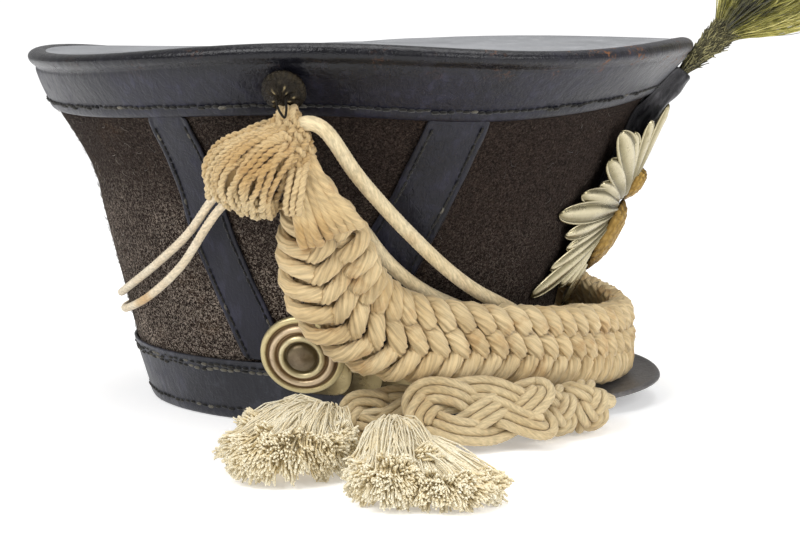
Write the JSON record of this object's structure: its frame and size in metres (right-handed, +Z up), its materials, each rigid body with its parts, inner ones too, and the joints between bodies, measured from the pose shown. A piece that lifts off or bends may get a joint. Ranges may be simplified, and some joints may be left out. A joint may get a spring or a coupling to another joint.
{
  "type": "shako hat",
  "caption": "Bell-topped felt shako with leather bands, a peak, a rayed front plate, chin scales, a plume and plaited cap lines with tassels.",
  "frame": {"origin": "on the surface the hat stands on, below the middle of the hat's box, which goes from its back rim to the plume's tip and from knot to knot", "axes": "+X to the front, where the peak and plume are, -Y to the wearer's right, +Z up"},
  "size_m": [0.438, 0.3703, 0.2845],
  "materials": {
    "felt": "dark brown-black flecked felt",
    "leather": "blue-black worn leather",
    "top_leather": "grey worn leather",
    "peak_leather": "dark grey worn leather",
    "brass": "aged brass",
    "bronze": "dark bronze",
    "silver": "tarnished silvered metal",
    "gilt": "worn gilding",
    "feather": "yellow-green feather on a wrapped stem",
    "cord": "cream cotton cord with tan stains",
    "fringe": "pale cream cotton yarn"
  },
  "bodies": {
    "root": {"crown_body": "felt", "crown_top": "top_leather", "top_band": "leather", "base_band": "leather", "peak": "peak_leather", "side_strap_right_front": "leather", "side_strap_right_back": "leather", "boss_right": "brass", "chin_scales_right": "brass", "hook_button_right": "bronze", "side_strap_left_front": "leather", "side_strap_left_back": "leather", "boss_left": "brass", "chin_scales_left": "brass", "hook_button_left": "bronze", "star_plate": "silver", "plate_emblem": "gilt", "plume_socket": "leather", "plume": "feather", "festoon": "cord", "festoon_knot_right": "cord", "festoon_knot_left": "cord", "back_cord_upper": "cord", "back_cord_lower": "cord", "cord_front": "cord", "cord_back": "cord", "cord_back_end": "cord", "slide_back": "cord", "slide_front": "cord", "flounder_front": "cord", "flounder_back": "cord", "tassel_front": "fringe", "tassel_back": "fringe"}
  },
  "joints": []
}
